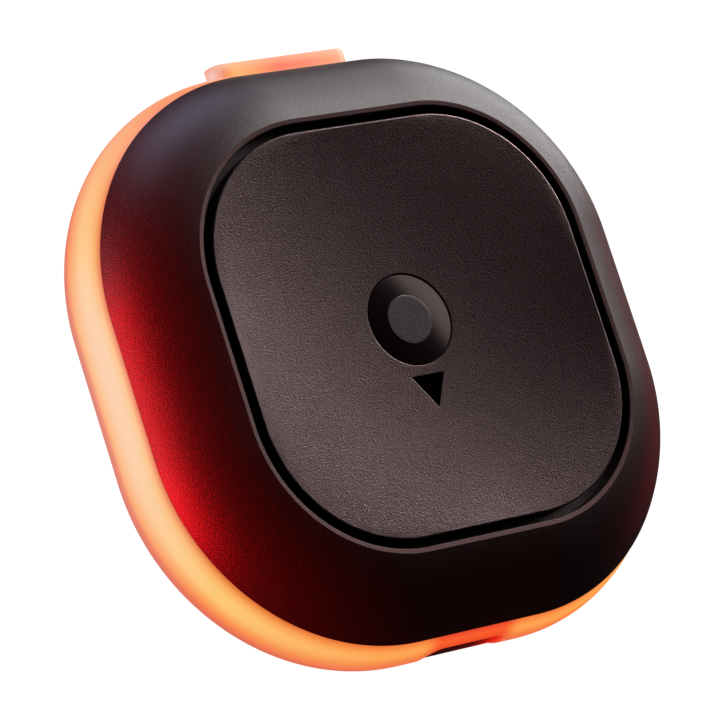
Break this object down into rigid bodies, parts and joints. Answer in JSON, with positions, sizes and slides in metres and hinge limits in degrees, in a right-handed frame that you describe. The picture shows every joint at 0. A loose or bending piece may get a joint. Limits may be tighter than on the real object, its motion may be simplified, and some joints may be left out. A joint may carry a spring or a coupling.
{
  "type": "tracker tag",
  "caption": "Rounded-square radio tracker tag with a dished face, a push button, a lit edge ring, a lanyard lug and a press-on back cover over a coin cell.",
  "frame": {"origin": "middle of the flat underside of the back cover, on which the tag lies", "axes": "+Z out of the face plate, +Y towards the lanyard lug, +X to the right when the lug is up and the face is seen"},
  "size_m": [0.044, 0.0449, 0.0125],
  "materials": {
    "bezel_plastic": "satin moulded ABS, dark warm grey",
    "plate_plastic": "spark-eroded fine grain, dark warm grey",
    "button_plastic": "polished cone with a fine-grained flat top",
    "ring_plastic": "translucent orange polycarbonate, lit from inside",
    "cover_plastic": "satin moulded ABS",
    "frame_plastic": "white reflective polycarbonate",
    "silicone": "moulded silicone",
    "foam": "closed-cell foam",
    "adhesive": "double-sided adhesive film",
    "board": "solder mask over copper",
    "chip_epoxy": "moulded epoxy",
    "lamp": "lamp package with a phosphor window",
    "part_ceramic": "fired ceramic",
    "cell_steel": "nickel-plated steel",
    "cell_nylon": "crimped nylon gasket",
    "cell_pellet": "pressed powder",
    "screw_steel": "zinc-plated steel",
    "tinned_steel": "tin-plated steel sheet",
    "spring_steel": "nickel-plated spring steel",
    "disc_brass": "rolled brass sheet"
  },
  "bodies": {
    "cover": {"back_cover": "cover_plastic", "cover_seal": "silicone", "cell_pad": "foam", "cell_can": "cell_steel", "cell_gasket": "cell_nylon", "cell_cap": "cell_steel", "cell_core": "cell_pellet"},
    "housing": {"bezel_shell": "bezel_plastic", "face_plate": "plate_plastic", "plate_adhesive": "adhesive", "light_ring": "ring_plastic", "ring_gasket": "silicone", "inner_frame": "frame_plastic", "case_screws": "screw_steel", "circuit_board": "board", "ring_leds": "lamp", "radio_chip": "chip_epoxy", "shield_can": "tinned_steel", "crystal": "tinned_steel", "chip_antenna": "part_ceramic", "motion_sensor": "chip_epoxy", "led_driver": "chip_epoxy", "power_converter": "chip_epoxy", "power_inductor": "chip_epoxy", "capacitors": "part_ceramic", "resistors": "chip_epoxy", "switch_body": "chip_epoxy", "switch_dome": "spring_steel", "button_carrier": "frame_plastic", "button_seal": "silicone", "buzzer_case": "chip_epoxy", "buzzer_disc": "disc_brass", "buzzer_ceramic": "part_ceramic", "positive_contact": "spring_steel", "negative_contact": "spring_steel"},
    "button": {"button_cap": "button_plastic", "switch_plunger": "frame_plastic"}
  },
  "joints": [
    {"name": "case_lift", "type": "slide", "parent": "cover", "child": "housing", "axis": [0, 0, 1], "range_m": [0, 0.014]},
    {"name": "button_press", "type": "slide", "parent": "housing", "child": "button", "axis": [0, 0, -1], "range_m": [0, 0.0003], "stiffness_N_per_m": 1500}
  ]
}
